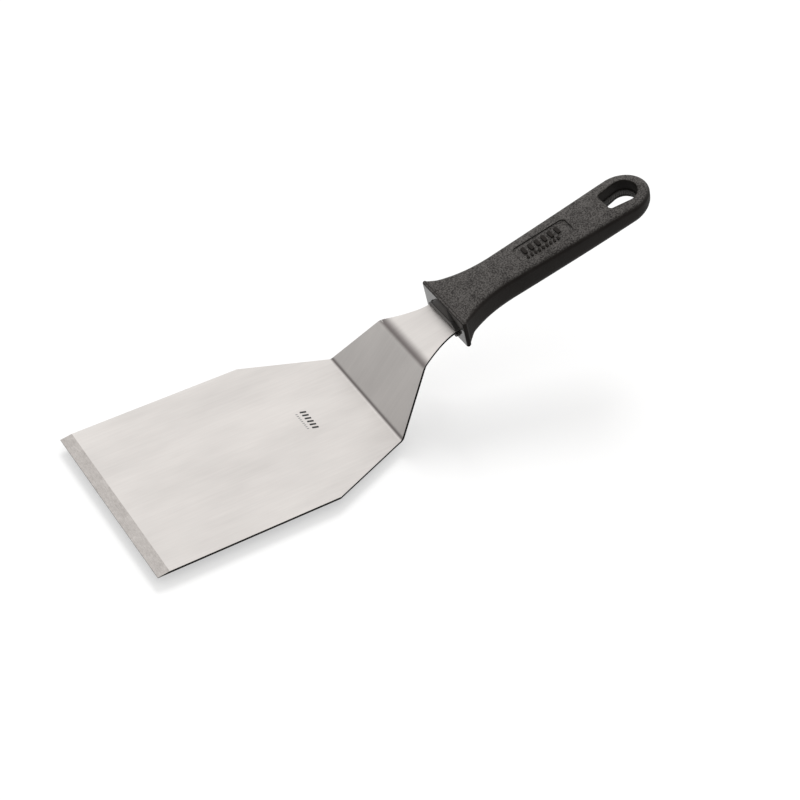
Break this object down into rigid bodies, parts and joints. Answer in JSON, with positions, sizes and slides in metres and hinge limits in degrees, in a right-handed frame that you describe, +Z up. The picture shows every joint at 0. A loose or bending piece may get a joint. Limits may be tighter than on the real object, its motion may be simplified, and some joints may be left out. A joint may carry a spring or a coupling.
{
  "type": "grill spatula",
  "caption": "Wide steel grill turner with a ground front edge, a cranked neck and a black moulded handle with a hang hole.",
  "frame": {"origin": "on the surface the blade lies on, under the middle of the object's bounding box", "axes": "+X from the blade's front edge to the butt of the handle, +Z up out of the blade's upper face"},
  "size_m": [0.3342, 0.11, 0.0848],
  "materials": {
    "steel_sheet": "fine satin grain along the blade, ground strip along the front edge",
    "pin_steel": "plain drawn steel",
    "grained_black": "moulded with a fine spark-eroded grain, smoother on the sides",
    "smooth_black": "smooth moulded"
  },
  "bodies": {
    "root": {"blade": "steel_sheet", "grip": "grained_black", "core_upper": "smooth_black", "core_lower": "smooth_black", "tang_pin_front": "pin_steel", "tang_pin_rear": "pin_steel"}
  },
  "joints": []
}
